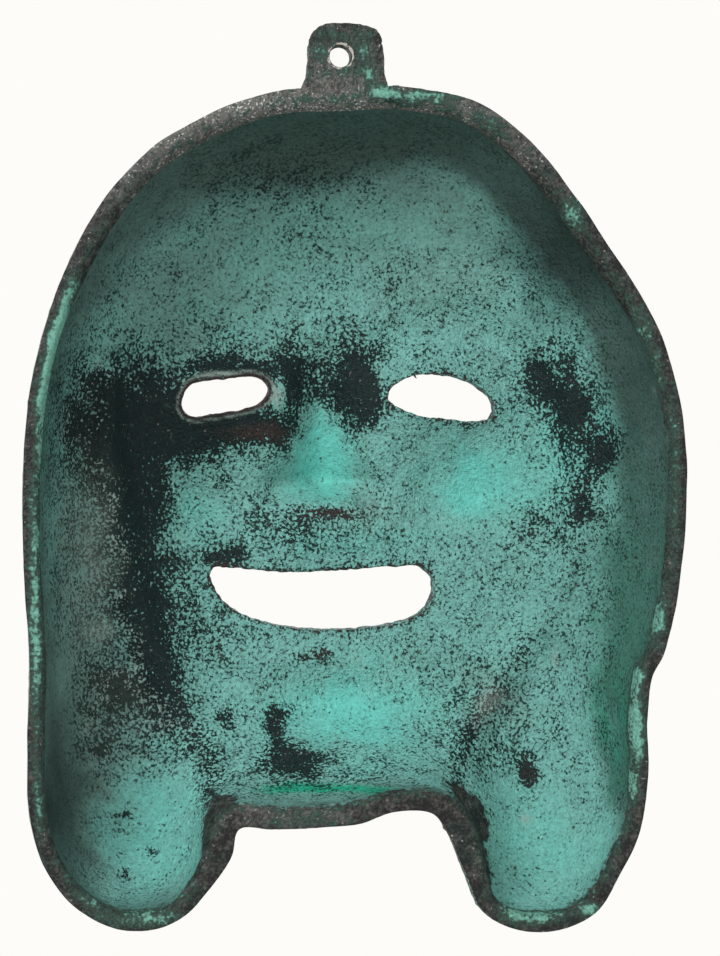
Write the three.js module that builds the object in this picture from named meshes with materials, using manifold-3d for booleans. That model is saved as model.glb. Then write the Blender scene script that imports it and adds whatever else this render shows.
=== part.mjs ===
// A hollow cast-bronze wall mask in the manner of the Greek comic theatre: one casting, with slots for
// the eyes, a wide open mouth, a twisted roll of hair over the brow, two twisted tresses that hang
// below the chin, and a drilled lug on top that takes a nail.
// Millimetres, +Z up. The face looks along -Y and the flat rear rim lies in the plane y = 0.
// The origin is the centre of the lug's hole, on the rear plane. Depth is the distance in front of it,
// and an inset is a distance in from the outline.
import * as THREE from 'three';
import { ConvexHull } from 'three/addons/math/ConvexHull.js';
import { mergeVertices } from 'three/addons/utils/BufferGeometryUtils.js';
import Module from 'manifold-3d';

const wasm = await Module();
wasm.setup();

// Driving dimensions
const WALL = 3; // thickness of the cast wall, and width of the flat rear rim
const THINNEST = 2.4; // least thickness of the wall, straight through from front to rear
const FACE_DEPTH = 43; // rear plane to the front of the plain dome that carries the face
const LOBE_DEPTH = 27; // the same at the tips of the tresses
const SHOULDER = 39; // inset at which the dome has reached its full depth
const SQUARENESS = 2.35; // 2 makes the dome's section a quarter ellipse, more makes it boxier
const HAIR_HEIGHT = 5; // how far the hair stands above the dome
const TWIST_PITCH = 17; // length of one twisted strand along the hair
const TWIST_DEPTH = 3.4; // how deep the grooves between strands are
const TWIST_LEAN = 0.5; // how far a groove leans, in pitches from the hair's middle to its edge
const LIP_HEIGHT = 2.8;
const LIP_WIDTH = 4;
const LID_HEIGHT = 2.2;
const LID_WIDTH = 2.8;
const HOLE_RADIUS = 2.35; // the nail hole in the lug
const LUG_THICKNESS = 4;
const MIDDLE = -1.5; // the face's middle line, a little left of the nail hole
const BRONZE = 0x2f5d54;

// The outline of the casting, seen from the front: x to the right, z up, from the nail hole.
const OUTLINE = [
  [0, -6.8], [-14.5, -6.3], [-28, -8.4], [-37, -13.2], [-45.5, -20.6], [-53, -30.2],
  [-61, -41.4], [-69, -53.8], [-75.2, -68.8], [-78.2, -87], [-78, -103], [-76.3, -119],
  [-73.2, -132], [-70.4, -137.4], [-69.3, -147], [-69.6, -158], [-67.8, -170.5], [-63.6, -180],
  [-57.5, -189.5], [-49, -193.2], [-39, -192.8], [-31.6, -188.5], [-27.7, -180], [-24.2, -171.5],
  [-20.6, -166.9], [-12.5, -166.2], [-4, -168.8], [6, -169.7], [15, -169.8], [22.2, -169.5],
  [24, -175.5], [29, -182.6], [34.5, -188.4], [42, -191], [50, -190.2], [58.5, -185.2],
  [64.5, -177], [67.8, -166], [68.2, -150], [67.9, -131], [69, -112], [69.2, -92],
  [67.2, -71], [61.5, -51], [53, -34], [42, -21.3], [29, -13.2], [15, -8.1],
];

// The open mouth, a wide grin with a flat upper edge, in the same view.
const MOUTH = [
  [25.3, -115.7], [24.2, -113.8], [20.6, -113.6], [8.4, -114.8], [-5.3, -114.5], [-18.6, -113.6],
  [-24.9, -113.9], [-27.8, -116.8], [-26.9, -122.5], [-22.7, -125.8], [-14.1, -127.8],
  [-1, -128.5], [12.2, -126.6], [20.9, -122.6],
];

// Each eye slot: its middle, its side of the face, and its outline in the same view.
const EYES = [
  {
    x: 21.9,
    z: -73.6,
    side: 1,
    outline: [
      [32.2, -75.6], [31.2, -72.2], [29.2, -70.4], [22, -69.5], [15.4, -68.9], [12.5, -70.3],
      [11.8, -72.6], [14, -75.2], [18, -76.6], [25.6, -77.9], [29.3, -78.4], [31.6, -77.3],
    ],
  },
  {
    x: -29.3,
    z: -73.6,
    side: -1,
    outline: [
      [-16.5, -74], [-17.2, -71.6], [-19.3, -69.8], [-22.7, -68.5], [-28, -68.1], [-34, -69.2],
      [-39.3, -72.2], [-41.7, -75.2], [-41.7, -78], [-39, -79.2], [-31, -78.8], [-23.5, -77.8],
      [-18.8, -75.9],
    ],
  },
];

// The nose: where its ridge starts, swells to its tip and ends, and the wings beside the tip.
const NOSE = {
  root: -64,
  tip: -93,
  foot: -102.5,
  rootHeight: 3.5,
  tipHeight: 14.5,
  rootWidth: 5.8,
  tipWidth: 11,
  wings: { out: 10.5, z: -96, width: 4.5, height: 5, rise: 4 },
};

// Rounded forms of the face and tresses: middle, half width, half height, and how far they stand out.
const CHEEKS = [
  { x: 27, z: -98, width: 14, height: 12.5, rise: 6 },
  { x: -32.5, z: -96.5, width: 15, height: 13, rise: 6 },
];
const MUZZLE = { x: 0, z: -120, width: 28, height: 14, rise: 3.8 };
const CHIN = { x: MIDDLE, z: -148, width: 15, height: 9, rise: 5.6 };
const FOREHEAD = { x: MIDDLE, z: -42, width: 26, height: 12, rise: 1.5 };
const UNDER_LIP = { x: 0, z: -135.5, width: 20, height: 4.5, rise: -2 };
const EYE_SOCKET = { width: 13, height: 8, rise: -4.8 };
const TRESS_ENDS = [
  { x: 42, z: -170, width: 12.5, height: 14, rise: 4.5 },
  { x: -49, z: -174, width: 13, height: 14, rise: 4.5 },
];

// The brows over the eyes, and the folds from the nose's wings round the ends of the mouth.
const BROW = { top: -55, fall: 7.5, halfLength: 17, thickness: 3.8, rise: 4.4 };
const SMILE_FOLD = { top: -97, length: 26, start: 13, spread: 21, width: 2.6, depth: 2 };

// The flat rear rim is wider at these places round the two corners under the chin.
const RIM_SWELLS = [
  { x: 25, z: -170, width: 9, height: 9, rise: 3.2 },
  { x: -26, z: -170, width: 9, height: 13, rise: 3.2 },
  { x: 0, z: -168, width: 18, height: 9, rise: 1.4 },
];

// The lug, seen from the front: a tab with round shoulders, wider where it joins the rim.
const LUG = { left: -9.8, right: 7.2, top: 7.3, foot: -8.8, footSpread: 3, shoulder: 4.2 };

// The tresses, at seven heights from the temple to the tip: the middle line and the half width.
const TRESS_LEVELS = [-62, -85, -110, -128, -145, -158, -182];
const TRESSES = [
  {
    side: 1,
    middle: [57, 59.5, 58, 54.5, 51, 48, 46],
    half: [7.5, 9.5, 11, 13.2, 17, 20, 19.5],
  },
  {
    side: -1,
    middle: [-65.5, -69.5, -68.5, -63, -54.7, -50.2, -46],
    half: [7.2, 8.5, 8.7, 10.8, 14.7, 19.3, 17],
  },
];
const TEMPLE = -68; // height at which the roll over the brow becomes a tress on each side
const ROLL_HALF = { temple: 8, top: 12.5 }; // half the roll's width

// The wall's mesh: distance between its points over the face and elsewhere, outside and inside, and
// the shares of the dome's rise at which it has rings.
const OUTER_NET = { face: 2.7, plain: 3.3, rises: [0, 0.22, 0.42, 0.58, 0.72] };
const INNER_NET = { face: 3.6, plain: 4.6, rises: [0, 0.22, 0.46, 0.66] };

// Shapes made of numbers

const clamp01 = (v) => Math.min(1, Math.max(0, v));
const bell = (v) => Math.exp(-v * v);
const mound = ({ x: middleX, z: middleZ, width, height, rise }, x, z) =>
  rise * bell((x - middleX) / width) * bell((z - middleZ) / height);
const mounds = (forms, x, z) => forms.reduce((sum, form) => sum + mound(form, x, z), 0);

function smoothStep(from, to, v) {
  const t = clamp01((v - from) / (to - from));
  return t * t * (3 - 2 * t);
}

// A value read off a table of levels that run downwards.
function atLevel(z, levels, values) {
  const below = levels.findIndex((level) => z >= level);
  if (below === 0) return values[0];
  if (below < 0) return values[values.length - 1];
  const t = (levels[below - 1] - z) / (levels[below - 1] - levels[below]);
  return THREE.MathUtils.lerp(values[below - 1], values[below], t);
}

// The outline as a curve, with the direction inwards at each of its points

const loop = (points) =>
  new THREE.CatmullRomCurve3(points.map(([x, z]) => new THREE.Vector3(x, 0, z)), true, 'centripetal');

const outline = loop(OUTLINE);
const edge = Array.from({ length: OUTLINE.length * 3 }, (_, i) => {
  const t = i / (OUTLINE.length * 3);
  const point = outline.getPoint(t);
  const along = outline.getTangent(t);
  return { x: point.x, z: point.z, inward: new THREE.Vector2(-along.z, along.x) };
});

// Evens out the inward directions, so that steps inwards neither cross nor spread at a corner.
for (let pass = 0; pass < 5; pass++) {
  const evened = edge.map((e, i) => {
    const [before, after] = [edge.at(i - 1), edge[(i + 1) % edge.length]];
    return e.inward.clone().add(before.inward).add(after.inward).normalize();
  });
  edge.forEach((e, i) => e.inward.copy(evened[i]));
}

// Points round the outline about half a millimetre apart, with the length run from the top middle,
// which is positive on the right.
const fineStep = outline.getLength() / 1280;
const fine = outline.getSpacedPoints(1280).slice(0, -1).map((point, i) => {
  const behind = i * fineStep;
  const ahead = outline.getLength() - behind;
  return { x: point.x, z: point.z, run: behind < ahead ? -behind : ahead };
});

// The inset of a point, smooth everywhere: near a straight edge it is the plain distance, and in a
// narrow place both edges share in it, so a dome built on it has no crease down its middle.
function insetAt(x, z) {
  let sum = 0;
  for (const p of fine) {
    const square = (p.x - x) ** 2 + (p.z - z) ** 2 + 1e-6;
    sum += fineStep / (square * square);
  }
  return Math.cbrt(Math.PI / (2 * sum));
}

// The outlines of the openings

const openingEdge = (points, count) =>
  loop(points).getSpacedPoints(count).slice(0, -1).map((p) => new THREE.Vector2(p.x, p.z));

const eyeEdges = EYES.map(({ outline: points }) => openingEdge(points, 30));
const mouthEdge = openingEdge(MOUTH, 56);

// The plain dome

const domeDepth = (z) => THREE.MathUtils.lerp(LOBE_DEPTH, FACE_DEPTH, smoothStep(-192, -140, z));
const domeRise = (share) => (1 - (1 - clamp01(share)) ** SQUARENESS) ** (1 / SQUARENESS);
const insetOfRise = (rise) => SHOULDER * (1 - (1 - rise ** SQUARENESS) ** (1 / SQUARENESS));

const rimWidth = (x, z) => WALL + mounds(RIM_SWELLS, x, z);

// Where the hair lies: across runs from -1 at the face's edge to 1 at the outline, phase counts the
// twisted strands, and brow is 1 in the roll over the brow and 0 in a tress.
const templeRun = TRESSES.map(({ side }) =>
  Math.max(...fine.filter((p) => p.z > TEMPLE).map((p) => p.run * side)));

function hairPlace(x, z, inset) {
  const brow = smoothStep(TEMPLE - 9, TEMPLE + 9, z);
  const which = x > 0 ? 0 : 1;
  const { side, middle, half } = TRESSES[which];
  const tressAcross = (side * (x - atLevel(z, TRESS_LEVELS, middle))) / atLevel(z, TRESS_LEVELS, half);
  const rollHalf = THREE.MathUtils.lerp(ROLL_HALF.temple, ROLL_HALF.top, smoothStep(-70, -25, z));
  const rollAcross = (rollHalf + 1 - inset) / rollHalf;
  let run = templeRun[which] + TEMPLE - z;
  if (brow > 0) {
    const nearest = fine.reduce((best, p) => {
      const far = (p.x - x) ** 2 + (p.z - z) ** 2;
      return far < best.far ? { far, run: p.run } : best;
    }, { far: Infinity, run: 0 });
    run = THREE.MathUtils.lerp(run, Math.abs(nearest.run), brow);
  }
  const across = THREE.MathUtils.lerp(tressAcross, rollAcross, brow);
  return { across, phase: run / TWIST_PITCH, brow };
}

// The crest between face and hair, where the wall dips towards the rear on both of its sides, less
// over the brow where flatten says so.
function hairlineDip(x, z, inset, flatten) {
  const { across, brow } = hairPlace(x, z, inset);
  return bell((across + 1.05) / 0.42) * smoothStep(5, 14, inset) * (1 - flatten * brow);
}

// How deep the smile folds are at a point.
function smileFold(x, z) {
  const down = (SMILE_FOLD.top - z) / SMILE_FOLD.length;
  const out = SMILE_FOLD.start + SMILE_FOLD.spread * clamp01(down) ** 0.75;
  const section = bell((Math.abs(x - MIDDLE) - out) / SMILE_FOLD.width);
  return SMILE_FOLD.depth * section * smoothStep(-0.15, 0.15, down) * smoothStep(1.5, 1.1, down);
}

// The face's main forms, which show on both sides of the wall. soften is 0 outside and 1 inside,
// where the core was rounder.

function noseForm(x, z, soften) {
  const narrow = 1 - 0.16 * soften;
  const { root, tip, rootHeight, tipHeight, rootWidth, tipWidth, wings } = NOSE;
  const foot = NOSE.foot + 2.5 * soften;
  const down = clamp01((root - z) / (root - tip));
  const height = THREE.MathUtils.lerp(rootHeight, tipHeight, down ** 1.3);
  const width = THREE.MathUtils.lerp(rootWidth, tipWidth, down) * narrow;
  const ends = smoothStep(foot, foot + 7, z) * smoothStep(root + 8, root - 2, z);
  const pair = [-wings.out, wings.out].map((out) => ({ ...wings, x: MIDDLE + out }));
  return height * ends * bell((x - MIDDLE) / width) + narrow * mounds(pair, x, z);
}

function browForm(eye, x, z, soften) {
  const away = Math.abs(x - eye.x - 1.5 * eye.side) / BROW.halfLength;
  const arch = BROW.top - BROW.fall * away ** 1.8;
  const section = bell((z - arch) / (BROW.thickness + soften));
  return BROW.rise * (1 - 0.6 * soften) * section * bell(away ** 2 / 1.3);
}

function faceForms(x, z, soften) {
  let depth = noseForm(x, z, soften) + mounds([...CHEEKS, MUZZLE, CHIN, FOREHEAD], x, z);
  depth += (1 - soften) * mound(UNDER_LIP, x, z);
  for (const eye of EYES) {
    depth += browForm(eye, x, z, soften) + mound({ ...EYE_SOCKET, x: eye.x, z: eye.z }, x, z);
  }
  return depth;
}

// The inside of the wall: a smooth hollow with the face's main forms in reverse.
function innerDepth(x, z) {
  const inset = insetAt(x, z);
  const rim = rimWidth(x, z);
  const dome = (domeDepth(z) - WALL) * domeRise((inset - rim) / (SHOULDER - rim));
  const crest = 3.2 * hairlineDip(x, z, inset, 0.8);
  const forms = 0.9 * faceForms(x, z, 1) + mounds(TRESS_ENDS, x, z) - crest;
  const depth = dome + forms * smoothStep(rim, rim + 15, inset);
  return inset > SHOULDER / 3 ? Math.min(depth, outerDepth(x, z) - THINNEST) : depth;
}

// The raised border that follows an opening's edge.
function borderRise(edgePoints, x, z, width) {
  const nearest = Math.min(...edgePoints.map((p) => Math.hypot(p.x - x, p.y - z)));
  return bell(nearest / width);
}

// The outside of the wall without its hair.
function outerDepth(x, z) {
  const inset = insetAt(x, z);
  const crest = 2.4 * hairlineDip(x, z, inset, 0.4);
  let forms = faceForms(x, z, 0) + mounds(TRESS_ENDS, x, z) - crest;
  forms += LIP_HEIGHT * borderRise(mouthEdge, x, z, LIP_WIDTH) - smileFold(x, z);
  for (const eyeEdge of eyeEdges) forms += LID_HEIGHT * borderRise(eyeEdge, x, z, LID_WIDTH);
  return domeDepth(z) * domeRise(inset / SHOULDER) + forms * smoothStep(3, 17, inset);
}

// How far the hair stands off the outside of the wall: a round section, cut by leaning grooves.
function hairHeight(x, z) {
  const inset = insetAt(x, z);
  const { across, phase } = hairPlace(x, z, inset);
  const section = Math.max(0, 1 - across * across) ** 0.7;
  const turn = phase + TWIST_LEAN * across;
  const strand = Math.sin(Math.PI * (turn - Math.floor(turn))) ** 0.7;
  return (HAIR_HEIGHT - TWIST_DEPTH * (1 - strand)) * section * smoothStep(0.5, 7, inset);
}

// A point of the outside: the wall's own point, pushed out along the wall's normal by the hair.
function outerPoint(x, z) {
  const depth = outerDepth(x, z);
  const height = hairHeight(x, z);
  if (height < 0.01) return [x, -depth, z];
  const tiny = 0.05;
  const slopeX = (outerDepth(x + tiny, z) - depth) / tiny;
  const slopeZ = (outerDepth(x, z + tiny) - depth) / tiny;
  const length = Math.hypot(slopeX, slopeZ, 1);
  return [x - (height * slopeX) / length, -depth - height / length, z - (height * slopeZ) / length];
}

// The wall's mesh: a few rings parallel to the outline, and an even net of triangles within them

function contains(ring, x, z) {
  let inside = false;
  ring.forEach(([ax, az], i) => {
    const [bx, bz] = ring[(i + 1) % ring.length];
    if (az > z !== bz > z && x < ax + ((z - az) * (bx - ax)) / (bz - az)) inside = !inside;
  });
  return inside;
}

// Distance from a point to the nearest side of a ring.
function gapTo(ring, x, z) {
  return Math.min(...ring.map(([ax, az], i) => {
    const [bx, bz] = ring[(i + 1) % ring.length];
    const [sx, sz] = [bx - ax, bz - az];
    const t = clamp01(((x - ax) * sx + (z - az) * sz) / (sx * sx + sz * sz));
    return Math.hypot(ax + t * sx - x, az + t * sz - z);
  }));
}

// Points inside a ring, in staggered rows, closer together over the face than elsewhere.
const FACE_FIELD = { x: -3, z: -94, halfWidth: 44, halfHeight: 46 };

function fieldPoints(ring, net) {
  const points = [];
  for (const [step, onFace] of [[net.face, true], [net.plain, false]]) {
    const rows = Math.ceil(110 / (step * 0.866));
    for (let row = -rows; row <= rows; row++) {
      for (let column = -Math.ceil(90 / step); column <= Math.ceil(90 / step); column++) {
        const x = FACE_FIELD.x + step * (column + (row % 2) / 2 + 0.09 * Math.sin(7 * row + 3 * column));
        const z = FACE_FIELD.z + step * (row * 0.866 + 0.09 * Math.sin(5 * column + 11 * row));
        const reach = Math.max(Math.abs(x - FACE_FIELD.x) / FACE_FIELD.halfWidth,
          Math.abs(z - FACE_FIELD.z) / FACE_FIELD.halfHeight);
        if (reach < 1 !== onFace || !contains(ring, x, z)) continue;
        if (gapTo(ring, x, z) > 0.6 * step) points.push([x, z]);
      }
    }
  }
  return points;
}

// The most even triangles between scattered flat points: with the points lifted onto a bowl, they are
// the underside of its convex hull.
function evenTriangles(points) {
  const lifted = points.map(([x, z], index) =>
    Object.assign(new THREE.Vector3(x, z, (x * x + z * z) / 200), { index }));
  const underside = new ConvexHull().setFromPoints(lifted).faces.filter((face) => face.normal.z < 0);
  return underside.map(({ edge: first }) =>
    [first, first.prev, first.next].map((side) => side.head().point.index));
}

const vertices = [];
const triangles = [];

function addVertex(x, y, z) {
  vertices.push(x, y, z);
  return vertices.length / 3 - 1;
}

// Adds one side of the wall, facing the front or (-1) the rear, and returns its ring of vertices in
// the rear plane. startAt gives the inset at which the side starts there.
function addSide(edgePoints, net, startAt, pointAt, facing) {
  const flat = net.rises.map((rise) => edgePoints.map((e) => {
    const inset = startAt(e.x, e.z) + insetOfRise(rise);
    return [e.x + e.inward.x * inset, e.z + e.inward.y * inset];
  }));
  const place = ([x, z], k) => addVertex(...(k === 0 ? [x, 0, z] : pointAt(x, z)));
  const rings = flat.map((ring, k) => ring.map((point) => place(point, k)));
  const add = (a, b, c) => triangles.push(...(facing > 0 ? [a, b, c] : [a, c, b]));
  for (let k = 0; k + 1 < rings.length; k++) {
    for (let i = 0; i < edgePoints.length; i++) {
      const j = (i + 1) % edgePoints.length;
      add(rings[k][i], rings[k][j], rings[k + 1][j]);
      add(rings[k][i], rings[k + 1][j], rings[k + 1][i]);
    }
  }
  const last = flat[flat.length - 1];
  const field = fieldPoints(last, net);
  const spread = [...last, ...field];
  const placed = [...rings[rings.length - 1], ...field.map(([x, z]) => addVertex(...pointAt(x, z)))];
  for (const corners of evenTriangles(spread)) {
    const middle = corners.reduce(([x, z], i) => [x + spread[i][0] / 3, z + spread[i][1] / 3], [0, 0]);
    if (contains(last, ...middle)) add(...corners.map((i) => placed[i]));
  }
  return rings[0];
}

function wallGeometry() {
  const outerRing = addSide(edge, OUTER_NET, () => 0, outerPoint, 1);
  const innerEdge = edge.filter((_, i) => i % 2 === 0);
  const innerPoint = (x, z) => [x, -innerDepth(x, z), z];
  const innerRing = addSide(innerEdge, INNER_NET, rimWidth, innerPoint, -1);
  innerEdge.forEach((_, j) => {
    const next = (j + 1) % innerEdge.length;
    const [a, b, c] = [outerRing[2 * j], outerRing[2 * j + 1], outerRing[2 * next]];
    const [d, e] = [innerRing[j], innerRing[next]];
    triangles.push(a, d, b, b, d, e, b, e, c);
  });
  const geometry = new THREE.BufferGeometry();
  geometry.setAttribute('position', new THREE.Float32BufferAttribute(vertices, 3));
  geometry.setIndex(triangles);
  return geometry;
}

// Flat shapes pushed through the depth of the mask

function pushed(shape, fromDepth, toDepth) {
  const geometry = new THREE.ExtrudeGeometry(shape, {
    depth: toDepth - fromDepth,
    bevelEnabled: false,
    curveSegments: 10,
  });
  return geometry.rotateX(Math.PI / 2).translate(0, -fromDepth, 0);
}

function lugShape() {
  const { left, right, top, foot, footSpread, shoulder } = LUG;
  const shape = new THREE.Shape();
  shape.moveTo(left - footSpread, foot);
  shape.quadraticCurveTo(left + 0.4, foot + 3.2, left, foot + 6);
  shape.lineTo(left + 0.5, top - shoulder);
  shape.quadraticCurveTo(left + 0.5, top, left + shoulder, top);
  shape.lineTo(right - shoulder - 0.5, top);
  shape.quadraticCurveTo(right - 0.5, top, right - 0.5, top - shoulder);
  shape.lineTo(right, foot + 6);
  shape.quadraticCurveTo(right - 0.4, foot + 3.2, right + footSpread, foot);
  shape.closePath();
  return shape;
}

const nailHole = new THREE.Shape().absarc(0, 0, HOLE_RADIUS, 0, 2 * Math.PI, false);

// Joining and cutting

function solid(geometry) {
  geometry.deleteAttribute('normal');
  geometry.deleteAttribute('uv');
  const merged = mergeVertices(geometry, 1e-3);
  return new wasm.Manifold(new wasm.Mesh({
    numProp: 3,
    vertProperties: merged.attributes.position.array,
    triVerts: new Uint32Array(merged.index.array),
  }));
}

function meshOf(name, manifold, material) {
  const made = manifold.getMesh();
  const geometry = new THREE.BufferGeometry();
  geometry.setAttribute('position', new THREE.Float32BufferAttribute(made.vertProperties, 3));
  geometry.setIndex([...made.triVerts]);
  geometry.computeVertexNormals();
  const mesh = new THREE.Mesh(geometry, material);
  mesh.name = name;
  return mesh;
}

let casting = solid(wallGeometry()).add(solid(pushed(lugShape(), 0, LUG_THICKNESS)));
for (const shape of [...[...eyeEdges, mouthEdge].map((points) => new THREE.Shape(points)), nailHole]) {
  casting = casting.subtract(solid(pushed(shape, -10, 90)));
}

const patinatedBronze = new THREE.MeshStandardMaterial({
  color: BRONZE,
  roughness: 0.75,
  metalness: 0.4,
});

const mask = new THREE.Group();
mask.add(meshOf('mask_casting', casting, patinatedBronze));

export default mask;
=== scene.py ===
"""The looks of a hollow cast-bronze theatre mask that hangs by a drilled lug.

The construction's solid gives the form. A copy of it is refined here: its two faces are settled onto
the smooth surfaces that the solid's flat triangles stand for, and the hair, brows, lids, lips and the
roughness of the casting are worked into it. Lengths are millimetres until the mesh is finished, and a
depth is a distance in front of the rear plane, where y is 0.
"""
import math
from collections import namedtuple

import bmesh
import bpy
import numpy as np
from mathutils import Matrix, Vector, noise


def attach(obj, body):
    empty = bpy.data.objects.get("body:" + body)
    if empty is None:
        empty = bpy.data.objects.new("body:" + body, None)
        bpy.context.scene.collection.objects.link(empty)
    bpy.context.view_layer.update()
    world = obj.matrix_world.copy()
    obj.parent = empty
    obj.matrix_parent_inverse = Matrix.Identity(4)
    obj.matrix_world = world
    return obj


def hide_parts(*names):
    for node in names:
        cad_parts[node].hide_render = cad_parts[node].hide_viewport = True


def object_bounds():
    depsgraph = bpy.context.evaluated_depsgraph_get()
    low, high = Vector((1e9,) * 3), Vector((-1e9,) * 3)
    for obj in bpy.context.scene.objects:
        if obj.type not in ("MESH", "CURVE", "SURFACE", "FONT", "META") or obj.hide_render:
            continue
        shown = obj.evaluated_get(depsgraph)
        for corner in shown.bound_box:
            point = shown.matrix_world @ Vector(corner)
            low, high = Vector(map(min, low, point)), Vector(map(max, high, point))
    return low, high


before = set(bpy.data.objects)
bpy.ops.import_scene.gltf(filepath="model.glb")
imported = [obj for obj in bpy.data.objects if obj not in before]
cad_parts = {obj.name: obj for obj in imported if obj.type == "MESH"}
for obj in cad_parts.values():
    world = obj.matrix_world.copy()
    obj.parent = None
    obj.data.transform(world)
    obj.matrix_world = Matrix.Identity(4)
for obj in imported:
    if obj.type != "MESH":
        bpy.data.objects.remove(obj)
CAD_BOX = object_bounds()
CASTING = "mask_casting"
MM = 0.001

# The casting's sizes, as in its construction
WALL = 3
THINNEST = 2.4
FACE_DEPTH = 43
LOBE_DEPTH = 27
SHOULDER = 39
SQUARENESS = 2.35
HAIR_HEIGHT = 5
TWIST_PITCH = 17
TWIST_DEPTH = 3.4
TWIST_LEAN = 0.5
LIP_HEIGHT = 2.8
LIP_WIDTH = 4
LID_HEIGHT = 2.2
LID_WIDTH = 2.8
HAIRLINE_DEPTH = 2.4
INNER_HAIRLINE_DEPTH = 3.2
HOLE_RADIUS = 2.35
LUG_THICKNESS = 4
LUG_MIDDLE = -1.3
LUG_REACH = 13.2
LUG_FOOT = -9.5
MIDDLE = -1.5
TEMPLE = -68
ROLL_HALF = (8, 12.5)

# The outline seen from the front: x to the right, z up, from the nail hole
OUTLINE = [
    (0, -6.8), (-14.5, -6.3), (-28, -8.4), (-37, -13.2), (-45.5, -20.6), (-53, -30.2),
    (-61, -41.4), (-69, -53.8), (-75.2, -68.8), (-78.2, -87), (-78, -103), (-76.3, -119),
    (-73.2, -132), (-70.4, -137.4), (-69.3, -147), (-69.6, -158), (-67.8, -170.5), (-63.6, -180),
    (-57.5, -189.5), (-49, -193.2), (-39, -192.8), (-31.6, -188.5), (-27.7, -180), (-24.2, -171.5),
    (-20.6, -166.9), (-12.5, -166.2), (-4, -168.8), (6, -169.7), (15, -169.8), (22.2, -169.5),
    (24, -175.5), (29, -182.6), (34.5, -188.4), (42, -191), (50, -190.2), (58.5, -185.2),
    (64.5, -177), (67.8, -166), (68.2, -150), (67.9, -131), (69, -112), (69.2, -92),
    (67.2, -71), (61.5, -51), (53, -34), (42, -21.3), (29, -13.2), (15, -8.1),
]
MOUTH = [
    (25.3, -115.7), (24.2, -113.8), (20.6, -113.6), (8.4, -114.8), (-5.3, -114.5), (-18.6, -113.6),
    (-24.9, -113.9), (-27.8, -116.8), (-26.9, -122.5), (-22.7, -125.8), (-14.1, -127.8),
    (-1, -128.5), (12.2, -126.6), (20.9, -122.6),
]
Eye = namedtuple("Eye", "x z half_length side outline")
EYES = [
    Eye(21.9, -73.6, 10.3, 1, [
        (32.2, -75.6), (31.2, -72.2), (29.2, -70.4), (22, -69.5), (15.4, -68.9), (12.5, -70.3),
        (11.8, -72.6), (14, -75.2), (18, -76.6), (25.6, -77.9), (29.3, -78.4), (31.6, -77.3),
    ]),
    Eye(-29.3, -73.6, 12.8, -1, [
        (-16.5, -74), (-17.2, -71.6), (-19.3, -69.8), (-22.7, -68.5), (-28, -68.1), (-34, -69.2),
        (-39.3, -72.2), (-41.7, -75.2), (-41.7, -78), (-39, -79.2), (-31, -78.8), (-23.5, -77.8),
        (-18.8, -75.9),
    ]),
]

# A tress: its side, and its middle line and half width at seven heights from the temple down
Tress = namedtuple("Tress", "side middle half")
TRESS_LEVELS = np.array([-62, -85, -110, -128, -145, -158, -182])
TRESSES = [
    Tress(1, [57, 59.5, 58, 54.5, 51, 48, 46], [7.5, 9.5, 11, 13.2, 17, 20, 19.5]),
    Tress(-1, [-65.5, -69.5, -68.5, -63, -54.7, -50.2, -46], [7.2, 8.5, 8.7, 10.8, 14.7, 19.3, 17]),
]

# A rounded form: its middle, half width and half height, and how far it stands out
Mound = namedtuple("Mound", "x z width height rise")
FACE_MOUNDS = [
    Mound(27, -98, 14, 12.5, 6),  # cheeks
    Mound(-32.5, -96.5, 15, 13, 6),
    Mound(0, -120, 28, 14, 3.8),  # muzzle
    Mound(MIDDLE, -148, 15, 9, 5.6),  # chin
    Mound(MIDDLE, -42, 26, 12, 1.5),  # forehead
]
EYE_SOCKETS = [Mound(eye.x, eye.z, 13, 8, -4.8) for eye in EYES]
UNDER_LIP = Mound(0, -135.5, 20, 4.5, -2)
TRESS_ENDS = [Mound(42, -170, 12.5, 14, 4.5), Mound(-49, -174, 13, 14, 4.5)]
RIM_SWELLS = [Mound(25, -170, 9, 9, 3.2), Mound(-26, -170, 9, 13, 3.2), Mound(0, -168, 18, 9, 1.4)]
NOSE_WINGS = [Mound(MIDDLE + out, -96, 4.5, 5, 4) for out in (-10.5, 10.5)]


# Shapes made of numbers


def bell(v):
    return np.exp(-v * v)


def smooth_step(start, end, v):
    t = np.clip((v - start) / (end - start), 0, 1)
    return t * t * (3 - 2 * t)


def mix(a, b, share):
    return a + (b - a) * share


def mound(form, x, z):
    return form.rise * bell((x - form.x) / form.width) * bell((z - form.z) / form.height)


def mounds(forms, x, z):
    return sum(mound(form, x, z) for form in forms)


def at_level(z, values):
    return np.interp(-z, -TRESS_LEVELS, values)


def loop(points, per_span):
    """A closed centripetal curve through the points."""
    p1 = np.array(points, float)
    p0, p2, p3 = np.roll(p1, 1, 0), np.roll(p1, -1, 0), np.roll(p1, -2, 0)
    d0, d1, d2 = (np.sqrt(np.linalg.norm(b - a, axis=1))[:, None] for a, b in ((p0, p1), (p1, p2), (p2, p3)))
    m1 = ((p1 - p0) / d0 - (p2 - p0) / (d0 + d1) + (p2 - p1) / d1) * d1
    m2 = ((p2 - p1) / d1 - (p3 - p1) / (d1 + d2) + (p3 - p2) / d2) * d1
    t = np.linspace(0, 1, per_span, endpoint=False)[:, None, None]
    curve = p1 + m1 * t + (3 * (p2 - p1) - 2 * m1 - m2) * t**2 + (2 * (p1 - p2) + m1 + m2) * t**3
    return curve.transpose(1, 0, 2).reshape(-1, 2)


def evenly(curve, count):
    """The closed curve again as evenly spaced points, and its length."""
    closed = np.vstack([curve, curve[:1]])
    run = np.concatenate([[0], np.cumsum(np.linalg.norm(np.diff(closed, axis=0), axis=1))])
    stops = np.linspace(0, run[-1], count, endpoint=False)
    return np.column_stack([np.interp(stops, run, closed[:, k]) for k in (0, 1)]), run[-1]


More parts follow.
